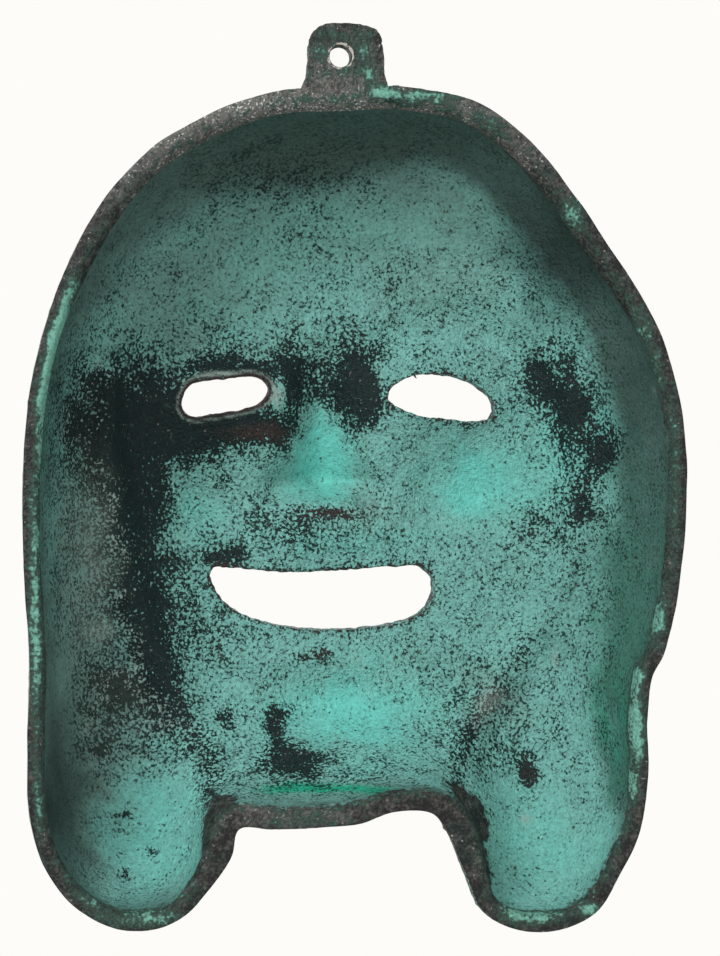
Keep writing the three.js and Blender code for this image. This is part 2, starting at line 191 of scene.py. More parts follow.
def inward_of(curve):
    """The direction to the left of the curve's run at each of its points."""
    along = np.roll(curve, -1, 0) - np.roll(curve, 1, 0)
    along /= np.linalg.norm(along, axis=1)[:, None]
    return np.column_stack([-along[:, 1], along[:, 0]])


EDGE, EDGE_LENGTH = evenly(loop(OUTLINE, 40), 1280)
EDGE_STEP = EDGE_LENGTH / len(EDGE)
EDGE_INWARD = inward_of(EDGE)
MOUTH_EDGE = evenly(loop(MOUTH, 20), 300)[0]
EYE_EDGES = [evenly(loop(eye.outline, 20), 150)[0] for eye in EYES]


def portions(count):
    """The numbers up to a count in portions that are small enough to compare with a whole curve."""
    return np.array_split(np.arange(count), count // 500 + 1)


def nearest(points, x, z):
    """The distance from each place to the nearest of the points, and that point's number."""
    far = np.empty(len(x))
    which = np.empty(len(x), int)
    for part in portions(len(x)):
        square = (x[part, None] - points[:, 0]) ** 2 + (z[part, None] - points[:, 1]) ** 2
        which[part] = square.argmin(1)
        far[part] = np.sqrt(square.min(1))
    return far, which


def inset_at(x, z):
    """How far in from the outline each place lies, and that inset's slopes along x and z."""
    inset, slope_x, slope_z = np.empty((3, len(x)))
    for part in portions(len(x)):
        dx = x[part, None] - EDGE[:, 0]
        dz = z[part, None] - EDGE[:, 1]
        near = 1 / (dx * dx + dz * dz + 1e-6)
        total = (near * near).sum(1) * EDGE_STEP
        pull = near**3
        inset[part] = np.cbrt(math.pi / (2 * total))
        share = 4 / 3 * inset[part] / total * EDGE_STEP
        slope_x[part] = share * (pull * dx).sum(1)
        slope_z[part] = share * (pull * dz).sum(1)
    return inset, slope_x, slope_z


# The forms of the wall, as in the construction


def dome_depth(z):
    return mix(LOBE_DEPTH, FACE_DEPTH, smooth_step(-192, -140, z))


def dome_rise(share):
    return (1 - (1 - np.clip(share, 0, 1)) ** SQUARENESS) ** (1 / SQUARENESS)


def rim_width(x, z):
    return WALL + mounds(RIM_SWELLS, x, z)


def hair_across(x, z, inset):
    """From -1 at the face's edge to 1 at the outline, and how far a place belongs to the brow's roll."""
    brow = smooth_step(TEMPLE - 9, TEMPLE + 9, z)
    sides = [t.side * (x - at_level(z, t.middle)) / at_level(z, t.half) for t in TRESSES]
    roll_half = mix(*ROLL_HALF, smooth_step(-70, -25, z))
    return mix(np.where(x > 0, *sides), (roll_half + 1 - inset) / roll_half, brow), brow


def hairline_dip(x, z, inset, flatten):
    across, brow = hair_across(x, z, inset)
    return bell((across + 1.05) / 0.42) * smooth_step(5, 14, inset) * (1 - flatten * brow)


def smile_fold(x, z):
    down = (-97 - z) / 26
    out = 13 + 21 * np.clip(down, 0, 1) ** 0.75
    ends = smooth_step(-0.15, 0.15, down) * smooth_step(1.5, 1.1, down)
    return 2 * bell((np.abs(x - MIDDLE) - out) / 2.6) * ends


def nose_form(x, z, soften):
    narrow = 1 - 0.16 * soften
    foot = -102.5 + 2.5 * soften
    down = np.clip((-64 - z) / 29, 0, 1)
    ends = smooth_step(foot, foot + 7, z) * smooth_step(-56, -66, z)
    ridge = mix(3.5, 14.5, down**1.3) * bell((x - MIDDLE) / (mix(5.8, 11, down) * narrow))
    return ridge * ends + narrow * mounds(NOSE_WINGS, x, z)


def brow_place(eye, x, z):
    """How far a place lies above the brow's arch, and how far along it from the middle."""
    away = np.abs(x - eye.x - 1.5 * eye.side) / 17
    return z + 55 + 7.5 * away**1.8, away


def brow_form(eye, x, z, soften):
    above, away = brow_place(eye, x, z)
    return 4.4 * (1 - 0.6 * soften) * bell(above / (3.8 + soften)) * bell(away**2 / 1.3)


def face_forms(x, z, soften):
    depth = nose_form(x, z, soften) + mounds(FACE_MOUNDS + EYE_SOCKETS, x, z)
    depth = depth + sum(brow_form(eye, x, z, soften) for eye in EYES)
    return depth + (1 - soften) * mound(UNDER_LIP, x, z)


def outer_parts(x, z, inset):
    """Of the outside of the wall: where its dome starts, the dome's depth, and the forms on it."""
    forms = face_forms(x, z, 0) + mounds(TRESS_ENDS, x, z)
    forms = forms - HAIRLINE_DEPTH * hairline_dip(x, z, inset, 0.4)
    forms = forms + LIP_HEIGHT * bell(nearest(MOUTH_EDGE, x, z)[0] / LIP_WIDTH) - smile_fold(x, z)
    forms = forms + sum(LID_HEIGHT * bell(nearest(e, x, z)[0] / LID_WIDTH) for e in EYE_EDGES)
    return 0, dome_depth(z), forms * smooth_step(3, 17, inset)


def inner_parts(x, z, inset):
    """The same of the inside of the wall."""
    rim = rim_width(x, z)
    forms = 0.9 * face_forms(x, z, 1) + mounds(TRESS_ENDS, x, z)
    forms = forms - INNER_HAIRLINE_DEPTH * hairline_dip(x, z, inset, 0.8)
    return rim, dome_depth(z) - WALL, forms * smooth_step(rim, rim + 15, inset)


def depth_of(parts, inset):
    start, dome, forms = parts
    return dome * dome_rise((inset - start) / (SHOULDER - start)) + forms


def outer_depth(x, z, inset):
    return depth_of(outer_parts(x, z, inset), inset)


def inner_depth(x, z, inset):
    """The inside's depth, held back behind the creases of the outside, as a softened least value."""
    depth = depth_of(inner_parts(x, z, inset), inset)
    creases = 0.5 * (smile_fold(x, z) - mound(UNDER_LIP, x, z))
    spare = outer_depth(x, z, inset) + creases - THINNEST - depth
    held = depth - 0.5 * np.log1p(np.exp(np.clip(-spare / 0.5, -30, 30)))
    return np.where(inset > SHOULDER / 3, held, depth)


def settle(points, parts_at, depth_at, passes=4):
    """Moves points along the surface's normal onto it, and gives its normals, which point to the front.

    Where the dome is steep the surface is taken as an inset for each depth, and elsewhere as a depth for
    each inset. The points next to the rear plane keep their place.
    """
    probe = 0.05

    def gap_at(x, y, z, inset, steep):
        start, dome, forms = parts_at(x, z, inset)
        share = np.clip((-y - forms) / dome, 0, 1)
        foot = start + (SHOULDER - start) * (1 - (1 - share**SQUARENESS) ** (1 / SQUARENESS))
        return np.where(steep, foot - inset, -y - depth_at(x, z, inset)), share

    points = points.copy()
    for turn in range(passes + 1):
        x, y, z = points.T
        inset, slope_x, slope_z = inset_at(x, z)
        steep = gap_at(x, y, z, inset, False)[1] < 0.8
        gap = gap_at(x, y, z, inset, steep)[0]
        lean = np.column_stack([
            gap_at(x + probe, y, z, inset + probe * slope_x, steep)[0] - gap,
            gap_at(x, y + probe, z, inset, steep)[0] - gap,
            gap_at(x, y, z + probe, inset + probe * slope_z, steep)[0] - gap,
        ]) / probe
        square = (lean**2).sum(1)
        if turn < passes:
            hold = smooth_step(0.2, 2, -y)
            points -= (gap / square * hold)[:, None] * lean
    return points, lean / np.sqrt(square)[:, None], inset


# The carving of the front


def run_from_top(x, z):
    """Length along the outline from its top middle to the place nearest to each point."""
    which = nearest(EDGE, x, z)[1]
    off = np.column_stack([x, z]) - EDGE[which]
    inward = EDGE_INWARD[which]
    run = which * EDGE_STEP + off[:, 0] * inward[:, 1] - off[:, 1] * inward[:, 0]
    return np.minimum(np.abs(run), EDGE_LENGTH - run)


def hair_height(x, z, inset):
    """How far the hair stands off the wall: twisted locks, each combed into five threads."""
    above = EDGE[:, 1] > TEMPLE
    run_to = [run_from_top(*EDGE[above & (t.side * EDGE[:, 0] > 0)].T).max() for t in TRESSES]
    across, brow = hair_across(x, z, inset)
    run = mix(np.where(x > 0, *run_to) + TEMPLE - z, run_from_top(x, z), brow)
    lock = run / TWIST_PITCH + TWIST_LEAN * across
    share = lock - np.floor(lock)
    strand = np.sin(math.pi * share) ** 0.7
    section = np.maximum(0, 1 - across**2)
    thread = np.abs(np.sin(5 * math.pi * (share + 0.03 * np.sin(9 * across + 2.4 * np.floor(lock))))) ** 0.8
    height = (HAIR_HEIGHT - TWIST_DEPTH * (1 - strand)) * section**0.7
    return (height + 0.6 * (thread - 1) * strand * section**0.35) * smooth_step(0.5, 7, inset)


def carving(x, z):
    """The face's fine lines, as heights off the wall."""
    aside = x - MIDDLE
    height = np.zeros(len(x))
    for level, half in ((-31.5, 17), (-37, 23), (-42.5, 20)):
        line = level + 1.6 * np.cos(aside / 7) - 2 * bell(aside / 4)
        height -= 0.6 * bell((z - line) / 0.95) * smooth_step(half + 6, half - 6, np.abs(aside))
    height -= 0.9 * bell((np.abs(aside) - 3.4) / 1.1) * bell((z + 57) / 5)
    height -= 0.7 * bell(aside / 1.8) * smooth_step(-103.5, -105.5, z) * smooth_step(-112, -109.5, z)
    height -= 0.7 * bell(aside / 2.2) * bell((z + 149) / 4)
    for side in (-1, 1):
        out = side * aside
        height -= 1.7 * bell((out - 5.4) / 2.4) * bell((z + 101.3) / 1.7)
        wing = np.hypot((out - 10.5) / 6, (z + 96) / 6.6)
        height -= 0.7 * bell((wing - 1) / 0.17) * smooth_step(6, 12, out + 0.6 * (z + 96))
    lips = nearest(MOUTH_EDGE, x, z)[0]
    height -= 0.6 * bell((lips - 5.6) / 0.8)
    for eye, edge in zip(EYES, EYE_EDGES):
        above, away = brow_place(eye, x, z)
        hairs = np.sin(2.9 * eye.side * (x - eye.x) - 0.9 * above)
        height += 0.45 * hairs * bell(above / 3.2) * bell(away**2 / 1.2)
        lid = nearest(edge, x, z)[0]
        height -= 0.75 * bell((lid - 4.4) / 0.8) * smooth_step(-2, 2, z - eye.z)
        height -= 0.5 * bell((lid - 5.6) / 1) * smooth_step(1, -3, z - eye.z)
        corner_out = eye.side * (x - eye.x) - eye.half_length - 1.5
        corner_up = z - eye.z + 1.8
        fan = np.hypot(corner_out, corner_up)
        angle = np.arctan2(corner_up, corner_out)
        for lean in (-0.6, -0.1, 0.4):
            reach = smooth_step(2, 4.5, fan) * smooth_step(11, 7, fan) * (corner_out > 0)
            height -= 0.5 * bell(fan * (angle - lean) / 0.75) * reach
    return height


def roughness(points, per_mm, seed):
    """Soft bumps between -1 and 1 at points in space."""
    start = Vector((seed, 2.7 * seed, -seed))
    return np.array([noise.noise(Vector(p) * per_mm + start) for p in points])


# The refined mesh

# The regions of the casting's surface, and how squarely a level face looks to the rear or the front
REGIONS = FRONT, HOLLOW, GROUND, CUT, LUG = range(5)
UNKNOWN = 5
LEVEL = 0.999


def ring(bm, radius, y):
    """A circle's edges round the nail hole."""
    place = Matrix.Translation((0, y, 0)) @ Matrix.Rotation(math.pi / 2, 4, "X")
    made = bmesh.ops.create_circle(bm, segments=56, radius=radius, matrix=place)
    return list({edge for vert in made["verts"] for edge in vert.link_edges})


def redrill(bm):
    """Makes the nail hole again round, with worn edges."""
    around_hole = [v for v in bm.verts if math.hypot(v.co.x, v.co.z) < HOLE_RADIUS + 0.1]
    bmesh.ops.delete(bm, geom=around_hole, context="VERTS")
    openings = [edge for edge in bm.edges if edge.is_boundary]
    worn = [(0.62, 0), (0.3, -0.08), (0.1, -0.27), (0, -0.6)]
    sections = worn + [(out, -LUG_THICKNESS - y) for out, y in reversed(worn)]
    rings = [ring(bm, HOLE_RADIUS + out, y) for out, y in sections]
    for one, other in zip(rings, rings[1:]):
        bmesh.ops.bridge_loops(bm, edges=one + other)
    for edges, rear in ((rings[0], True), (rings[-1], False)):
        rim = [e for e in openings if (e.verts[0].co.y > -LUG_THICKNESS / 2) == rear]
        bmesh.ops.triangle_fill(bm, edges=edges + rim, use_beauty=True)
    bmesh.ops.recalc_face_normals(bm, faces=bm.faces)


def spread(face, region):
    """Gives a region's number to the faces of unknown region that hang together with a face."""
    face.material_index = region
    waiting = [face]
    while waiting:
        for edge in waiting.pop().edges:
            for other in edge.link_faces:
                if other.material_index == UNKNOWN:
                    other.material_index = region
                    waiting.append(other)


def near_lug(x, z):
    return (z > LUG_FOOT) & (abs(x - LUG_MIDDLE) < LUG_REACH)


def find_regions(bm):
    faces = list(bm.faces)
    middles = np.array([face.calc_center_median() for face in faces])
    openings = np.vstack([MOUTH_EDGE, *EYE_EDGES])
    to_opening = nearest(openings, middles[:, 0], middles[:, 2])[0]
    for face, middle, far in zip(faces, middles, to_opening):
        facing = face.normal.y
        face.material_index = UNKNOWN
        if facing > LEVEL and middle[1] > -0.01:
            face.material_index = GROUND
        elif math.hypot(middle[0], middle[2]) < HOLE_RADIUS + 0.65:
            face.material_index = LUG
        elif near_lug(middle[0], middle[2]) and (abs(facing) < 1e-3 or facing < -LEVEL):
            face.material_index = LUG
        elif abs(facing) < 0.01 and far < 0.3:
            face.material_index = CUT
    unknown = [face for face in faces if face.material_index == UNKNOWN]
    spread(min(unknown, key=lambda face: face.calc_center_median().y), FRONT)
    unknown = [face for face in unknown if face.material_index == UNKNOWN and face.normal.y > 0.3]
    spread(min(unknown, key=lambda face: face.calc_center_median().y), HOLLOW)


def lattice(bm):
    """Cuts the lug's flat faces into small even ones."""
    spacing = 2.8
    planes = [((x, 0, 0), (1, 0, 0)) for x in np.arange(-12.7, 12, spacing)]
    planes += [((0, 0, z), (0, 0, 1)) for z in np.arange(-7.8, 7.2, spacing)]
    planes += [((0, y, 0), (0, 1, 0)) for y in (-1.3, -2.7)]
    for place, normal in planes:
        flat = [face for face in bm.faces if face.material_index in (GROUND, LUG)]
        faces = [face for face in flat if near_lug(*face.calc_center_median().xz)]
        geom = {item for face in faces for item in (face, *face.edges, *face.verts)}
        bmesh.ops.bisect_plane(bm, geom=list(geom), dist=0.05, plane_co=place, plane_no=normal)


def refined_copy():
    """The casting's mesh in millimetres: merged, its hole round, its regions found, and cut finer."""
    bm = bmesh.new()
    bm.from_mesh(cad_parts[CASTING].data)
    bmesh.ops.scale(bm, vec=(1 / MM, 1 / MM, 1 / MM), verts=bm.verts)
    bmesh.ops.remove_doubles(bm, verts=bm.verts, dist=0.002)
    redrill(bm)
    find_regions(bm)
    lattice(bm)
    bmesh.ops.triangulate(bm, faces=bm.faces)
    bmesh.ops.subdivide_edges(bm, edges=bm.edges, cuts=3, use_grid_fill=True)
    bmesh.ops.triangulate(bm, faces=bm.faces)
    mesh = bpy.data.meshes.new("casting")
    bm.to_mesh(mesh)
    bm.free()
    return mesh


def values_of(items, name, width, kind=float):
    """One value of each of a mesh's items, as an array."""
    flat = np.empty(len(items) * width, kind)
    items.foreach_get(name, flat)
    return flat.reshape(-1, width) if width > 1 else flat


class Linked:
    """Means over the vertices that each vertex is joined to."""

    def __init__(self, mesh):
        self.mesh = mesh
        self.ends = values_of(mesh.edges, "vertices", 2, int).T
        self.size = len(mesh.vertices)
        self.count = self.sum(np.ones(self.size))

    def sum(self, values):
        one, other = self.ends
        there = np.bincount(one, values[other], self.size)
        return there + np.bincount(other, values[one], self.size)

    def mean(self, values, times=1):
        for _ in range(times):
            values = np.column_stack([self.sum(column) / self.count for column in values.T])
        return values


def corner_normals(mesh, points):
    """At each vertex the mean of its faces' unit normals: the sharper the corner, the shorter."""
    corners = values_of(mesh.loops, "vertex_index", 1, int).reshape(-1, 3)
    a, b, c = (points[corners[:, k]] for k in range(3))
    normal = np.cross(b - a, c - a)
    normal /= np.maximum(np.linalg.norm(normal, axis=1), 1e-9)[:, None]
    total = np.zeros_like(points)
    for k in range(3):
        for axis in range(3):
            total[:, axis] += np.bincount(corners[:, k], normal[:, axis], len(points))
    count = np.bincount(corners.ravel(), minlength=len(points))
    return total / np.maximum(count, 1)[:, None]


def onto(points, rows, curve, wander, per_mm):
    """Moves points sideways onto a curve that wanders a little."""
    inward = inward_of(curve)
    which = nearest(curve, points[rows, 0], points[rows, 2])[1]
    off = points[rows][:, [0, 2]] - curve[which]
    wish = wander * roughness(points[rows], per_mm, 5)
    points[np.ix_(rows, [0, 2])] -= ((off * inward[which]).sum(1) - wish)[:, None] * inward[which]


def regions_of_vertices(mesh, size):
    """For each region, whether each vertex lies on it or on its edge."""
    corners = values_of(mesh.loops, "vertex_index", 1, int)
    regions = np.repeat(values_of(mesh.polygons, "material_index", 1, int), 3)
    on = {}
    for region in REGIONS:
        on[region] = np.zeros(size, bool)
        on[region][corners[regions == region]] = True
    return on


def settle_rim(points, on, linked):
    """The outline, the rim's uneven inner edge, and the rim between them."""
    onto(points, np.flatnonzero(on[FRONT] & on[GROUND] & ~on[LUG]), EDGE, wander=0.3, per_mm=0.12)
    rows = np.flatnonzero(on[HOLLOW] & on[GROUND])
    wish = 0.55 * roughness(points[rows], 0.13, 3) + 0.25 * roughness(points[rows], 0.5, 4)
    for _ in range(4):
        x, z = points[rows, 0], points[rows, 2]
        inset, *slope = inset_at(x, z)
        slope = np.column_stack(slope)
        step = (rim_width(x, z) + wish - inset) / (slope**2).sum(1)
        points[np.ix_(rows, [0, 2])] += step[:, None] * slope
    between = on[GROUND] & ~on[FRONT] & ~on[HOLLOW] & ~on[LUG]
    between &= ~near_lug(points[:, 0], points[:, 2])
    for _ in range(12):
        points[between] = linked.mean(points)[between]


def settle_openings(points, on):
    """The edges of the mouth and the eyes."""
    for edge in (MOUTH_EDGE, *EYE_EDGES):
        far = nearest(edge, points[:, 0], points[:, 2])[0]
        onto(points, np.flatnonzero(on[CUT] & (far < 0.5)), edge, wander=0.4, per_mm=0.55)


def carve_front(points, rows):
    points[rows], out, inset = settle(points[rows], outer_parts, outer_depth)
    x, _, z = points[rows].T
    height = hair_height(x, z, inset) + carving(x, z) * smooth_step(4, 12, inset)
    height += 0.16 * roughness(points[rows], 0.16, 1) * smooth_step(1, 4, inset)
    height += 0.07 * roughness(points[rows], 0.7, 2) * smooth_step(1, 4, inset)
    points[rows] += height[:, None] * out


def cast_hollow(points, rows):
    """The rough inside, with a soft roll of metal along the rim that is fuller round the crown."""
    points[rows], out, _ = settle(points[rows], inner_parts, inner_depth)
    grown = smooth_step(0.5, 6, -points[rows, 1])
    height = 0.24 * roughness(points[rows], 0.14, 7) + 0.17 * roughness(points[rows], 0.5, 8)
    fullness = mix(0.4, 1, smooth_step(-64, -42, points[rows, 2]))
    roll = 1.9 * bell((-points[rows, 1] - 2.5) / 4) * fullness
    points[rows] -= (height * grown + roll)[:, None] * out


def work_flats(points, flat):
    """The lug's arched top and uneven sides, and the pits of the ground faces."""
    x, y, z = points[flat].T
    aside = smooth_step(3, 5.5, np.hypot(x, z)) * smooth_step(-9, -6, z)
    rough = np.column_stack([roughness(points[flat], 0.75, seed) for seed in (21, 22)])
    points[flat, 0] += 0.4 * aside * rough[:, 0]
    points[flat, 2] += aside * (0.3 * rough[:, 1] - 0.9 * ((x + 1) / 7.5) ** 2 * smooth_step(2, 7, z))
    points[flat, 1] -= 0.22 * np.abs(roughness(points[flat], 0.45, 23)) * (y > -0.01)


def wear_corners(points, on, mesh):
    mean = corner_normals(mesh, points)
    sharp = smooth_step(0.93, 0.8, np.linalg.norm(mean, axis=1))
    two_sided = sum(on[region].astype(int) for region in REGIONS) > 1
    sharp *= (two_sided | on[LUG]) & ~(on[LUG] & on[FRONT])
    points -= 0.24 * sharp[:, None] * mean


def work_casting(mesh):
    """Moves the refined mesh's vertices to the finished shape, and gives what its finishes depend on."""
    points = values_of(mesh.vertices, "co", 3)
    on = regions_of_vertices(mesh, len(points))
    linked = Linked(mesh)
    flat = on[GROUND] | on[LUG]
    settle_rim(points, on, linked)
    settle_openings(points, on)
    carve_front(points, np.flatnonzero(on[FRONT] & ~flat & ~on[CUT]))
    cast_hollow(points, np.flatnonzero(on[HOLLOW] & ~flat & ~on[CUT]))
    for region, depth_at in ((FRONT, outer_depth), (HOLLOW, inner_depth)):
        rows = np.flatnonzero(on[CUT] & on[region])
        x, _, z = points[rows].T
        points[rows, 1] = -depth_at(x, z, inset_at(x, z)[0])
    work_flats(points, flat)
    wear_corners(points, on, mesh)
    low, high = (np.array(corner) / MM for corner in CAD_BOX)
    return np.clip(points, low, high), linked


# Where the finishes change, on the inside unless it says otherwise

# A blot: its middle, half width and half height, and its strength
Blot = namedtuple("Blot", "x z width height strength")
BLOT_FALL = 1.15
BARE = [  # the green is thin or has gone
    Blot(44, -79, 16, 12, 1.1),  # round the right eye
    Blot(19.5, -75.5, 14.5, 10.5, 0.75),
    Blot(22, -81.5, 16, 4.2, 0.9),
    Blot(14, -66.5, 12, 3.4, 0.5),
    Blot(42, -99, 7, 22, 0.75),  # down the right cheek
    Blot(38.5, -128, 5.5, 22, 0.4),
    Blot(52, -112, 12, 34, 0.22),
    Blot(6.2, -70, 2.1, 9.5, 0.65),  # beside the bridge of the nose
    Blot(-10, -71, 5, 10.5, 1.2),
    Blot(-1.6, -69, 8, 9, 0.25),
    Blot(-52.6, -69.5, 4.2, 6.6, 0.9),  # left temple
    Blot(-58.8, -76, 3.8, 9.6, 0.95),
    Blot(-65.8, -86.5, 3.4, 5.6, 0.95),
    Blot(-61.4, -97.5, 2.2, 5.4, 0.75),
    Blot(-57, -83, 14, 24, 0.08),
    Blot(-55, -103, 12, 7, 0.3),
    Blot(22.2, -110.8, 5.6, 2.4, 0.85),  # mouth
    Blot(-3.4, -100.8, 7.6, 1.5, 0.5),
    Blot(6, -103.5, 16, 6, 0.32),
    Blot(29, -126, 9, 12, 0.3),
    Blot(0.4, -134.3, 4.2, 1.7, 0.55),
    Blot(7.9, -157.2, 6.2, 3.4, 0.85),  # chin
    Blot(10.6, -151, 2.2, 4.6, 0.85),
    Blot(8.4, -147.9, 3, 1.9, 0.8),
    Blot(22.6, -148.6, 2.3, 1.7, 0.75),
    Blot(0, -159.5, 24, 3.2, 0.18),
    Blot(47.6, -140.5, 6.5, 4.2, 0.5),
    Blot(47.1, -141.6, 1.9, 2.5, 0.4),
    Blot(41, -151, 13, 9, 0.25),
    Blot(-48.9, -161.8, 2.2, 4, 1),  # ends of the tresses
    Blot(46.6, -181.2, 1.7, 1.3, 0.9),
    Blot(39.9, -177.1, 1.4, 1.1, 0.8),
    Blot(47, -169.6, 5, 1, 0.6),
    Blot(47.5, -172.5, 4, 0.8, 0.5),
    Blot(51.4, -154.9, 1.8, 1.6, 0.7),
    Blot(56, -148, 6, 10, 0.15),
    Blot(-38, -146, 9, 9, 0.18),
    Blot(-40, -158, 9, 6, 0.18),
    Blot(-30, -152, 7, 10, 0.15),
    Blot(12, -22.5, 22, 6, 0.28),  # crown
    Blot(-3, -58, 15, 5, 0.1),  # forehead
]
CLEAN = [  # the green is whole
    Blot(-1.7, -89.5, 9.3, 9.5, 0.6),  # nose
    Blot(-1.7, -80.5, 4, 6, 0.45),
    Blot(-38, -94.5, 14, 9.5, 0.45),  # cheeks
    Blot(26, -98, 9, 8, 0.08),
    Blot(-8, -147, 20, 8, 0.3),
    Blot(40.5, -171, 12, 17, 0.3),
    Blot(-50.5, -177, 12.5, 15, 0.3),
    Blot(-22, -32, 18, 9, 0.3),
    Blot(20, -40, 16, 8, 0.15),
    Blot(9.3, -73.6, 1.7, 4, 0.9),
    Blot(61, -152, 5, 24, 0.4),
    Blot(-70, -80, 3, 14, 0.3),
]
BRIGHT = [  # the green is light and fresh
    Blot(-1.7, -89, 9.6, 10, 0.8),
    Blot(-1.7, -80, 4, 7, 0.5),
    Blot(-37, -94.5, 12, 9, 0.75),
    Blot(28, -101, 7, 7, 0.45),
    Blot(-8, -147.5, 20, 10, 0.8),
    Blot(38.5, -172, 11.5, 16, 0.5),
    Blot(-50.5, -177, 12, 14, 0.4),
    Blot(-10, -108, 22, 4, 0.35),
    Blot(-57, -82, 13, 18, 0.4),
]
EMERALD = [  # the green is strong
    Blot(8, -162.6, 11, 0.8, 1),
    Blot(-6, -162.3, 9, 0.7, 0.7),
    Blot(-2, -168.8, 5, 1, 0.5),
    Blot(-64, -150, 5, 18, 0.28),
    Blot(-66, -125, 5, 12, 0.2),
]
DULL = [  # the green is greyish
    Blot(36, -45, 24, 22, 0.5),
    Blot(-30, -40, 20, 18, 0.4),
    Blot(54, -115, 12, 38, 0.8),
    Blot(44, -147, 12, 10, 0.6),
    Blot(59, -160, 8, 26, 1),
    Blot(-42, -146, 8, 8, 0.6),
    Blot(-13, -101, 6, 6, 0.5),
    Blot(0, -20, 50, 9, 0.5),
]
DEEP = [  # the green is deep
    Blot(-70, -118, 6, 40, 0.6),
    Blot(-67, -150, 5, 22, 0.6),
    Blot(66, -84, 6, 40, 0.35),
    Blot(-60, -126, 10, 20, 0.2),
]
BROWN = [  # the bare metal is brown
    Blot(13, -82, 11, 2.8, 1),
    Blot(-3.4, -100.8, 8, 3, 0.9),
    Blot(-12, -104, 5, 4, 0.5),
    Blot(0.4, -134.3, 5, 3, 0.7),
    Blot(9, -153, 8, 9, 0.35),
    Blot(-48.9, -161.8, 4, 5, 0.5),
    Blot(-40, -146, 6, 5, 0.7),
    Blot(47.6, -140.5, 7, 5, 0.5),
    Blot(62, -140, 4, 20, 0.6),
]
PALE = [  # worn to a pale grey green
    Blot(-41, -145, 6, 4.6, 0.6),
    Blot(54, -110, 7, 24, 0.6),
    Blot(-73.6, -72.8, 1.1, 1.9, 1.4),
    Blot(9.3, -73.6, 1.5, 3.6, 0.8),
    Blot(24.3, -68.2, 5, 0.8, 0.5),
    Blot(-47, -171.8, 1.6, 1.3, 0.9),
    Blot(50.5, -128, 5, 3.5, 0.4),
    Blot(-55.5, -134.8, 1, 4, 0.7),
]
DARK_METAL = [  # bare cast metal beside the rim
    Blot(-27, -176, 6.7, 9.2, 3),
    Blot(-31, -169.5, 3.6, 3.4, 3),
    Blot(-32.6, -181.5, 2.6, 4.4, 3),
    Blot(25.2, -172, 3.6, 7, 3),
    Blot(0, -167, 24, 2.2, 0.6),
]
SHADE_AND_DARK_PATCHES = [  # darker green: painted shade under the top rim and high on the wall where x is negative, and dark patches lower down
    # painted shade high on the wall where x is negative
    Blot(-57, -42, 10, 15, 1.2),
    Blot(-46, -34, 9, 9, 0.8),
    Blot(62, -154, 4.5, 26, 0.3),
    Blot(-68, -72, 5, 16, 0.6),
    Blot(59, -78, 5, 16, 0.7),
    Blot(60, -166, 7.5, 18, 1.2),
    Blot(45, -178, 12, 12, 0.2),
    Blot(44, -188, 14, 4, 0.5),
    Blot(-71.5, -84, 3.6, 24, 0.45),
    # painted shade in the band under the top rim
    Blot(0, -13, 44, 7, 0.45),
    Blot(-60, -124, 8, 20, 0.2),
]
STAIN = [  # green on the ground rim and the lug
    Blot(58.8, -53, 1.5, 3.5, 1.1),
    Blot(60.6, -59, 1.5, 4, 1.2),
    Blot(62.1, -65, 1.8, 6, 1.6),
    Blot(63.8, -75.5, 2.2, 7.5, 1.7),
    Blot(65.3, -87, 1.3, 5, 0.8),
    Blot(66.6, -102, 1.5, 12, 0.4),
    Blot(-75.7, -90, 1.3, 26, 0.35),
    Blot(66.8, -127, 1.3, 20, 0.9),
    Blot(66, -163, 0.9, 9, 0.6),
    Blot(-71.8, -124, 1.7, 4.4, 0.9),
    Blot(-69, -128.5, 1, 3, 0.6),
    Blot(-67, -136, 1.3, 3.4, 0.8),
    Blot(-66.9, -148.5, 1.8, 10, 1.05),
    Blot(-66, -161, 1, 3.4, 0.7),
    Blot(41, -188.6, 12, 2.6, 0.6),
    Blot(55, -184, 4, 4, 0.4),
    Blot(-42.5, -189.6, 6.5, 2.4, 0.85),
    Blot(-56, -189, 2.4, 1.6, 1),
    Blot(-69, -70, 3, 22, 0.42),
    Blot(0, 2, 8, 5, 0.28),
    Blot(3, -9, 30, 1.6, 0.15),
    Blot(-34, -13.5, 12, 3, 0.25),
    Blot(-18, -8, 10, 1.4, 0.7),
    Blot(-52, -33, 3.5, 5, 0.6),
    Blot(-8.9, -6.9, 2.8, 1.6, 0.95),
    Blot(-6, -4, 1.2, 2, 0.7),
    Blot(-5.5, 2, 2, 3.6, 0.45),
    Blot(4.8, 0.5, 1.6, 2.6, 0.45),
    Blot(0, 5, 7, 1.6, 0.2),
    Blot(8, -168, 12, 1.2, 0.5),
]
LIGHT_BRONZE_AND_GLINTS = [  # the ground metal is lighter, and has more painted glints
    Blot(0, -15, 46, 13, 1.3),
    Blot(40, -26, 16, 10, 0.5),
    Blot(0, 0, 9, 9, 0.1),
    # a row of painted glints beside the lug's foot
    Blot(10, -11.2, 26, 1.8, 0.8),
    Blot(10, -167, 14, 3, 0.7),
]

# A trail: places that it runs through, its half width and its strength
Trail = namedtuple("Trail", "places width strength")
BARE_TRAILS = [  # the crests that divide the chin from the tresses
    Trail([(42.4, -122), (34, -144.5), (28.1, -156.5), (26.6, -165.5)], 3.4, 0.42),
    Trail([(-50.6, -130.4), (-39.9, -145.5), (-31.8, -157.5), (-27, -165.3)], 2, 0.22),
]


def blots(spots, x, z, wander):
    """The spots together. Their edges wander, the more the larger a spot is."""
    total = np.zeros(len(x))
    for spot in spots:
        sway = 0.3 * min(spot.width, spot.height)
        across = (x + sway * wander[0] - spot.x) / spot.width
        up = (z + sway * wander[1] - spot.z) / spot.height
        total += spot.strength * np.exp(-((across**2 + up**2) ** BLOT_FALL))
    return total


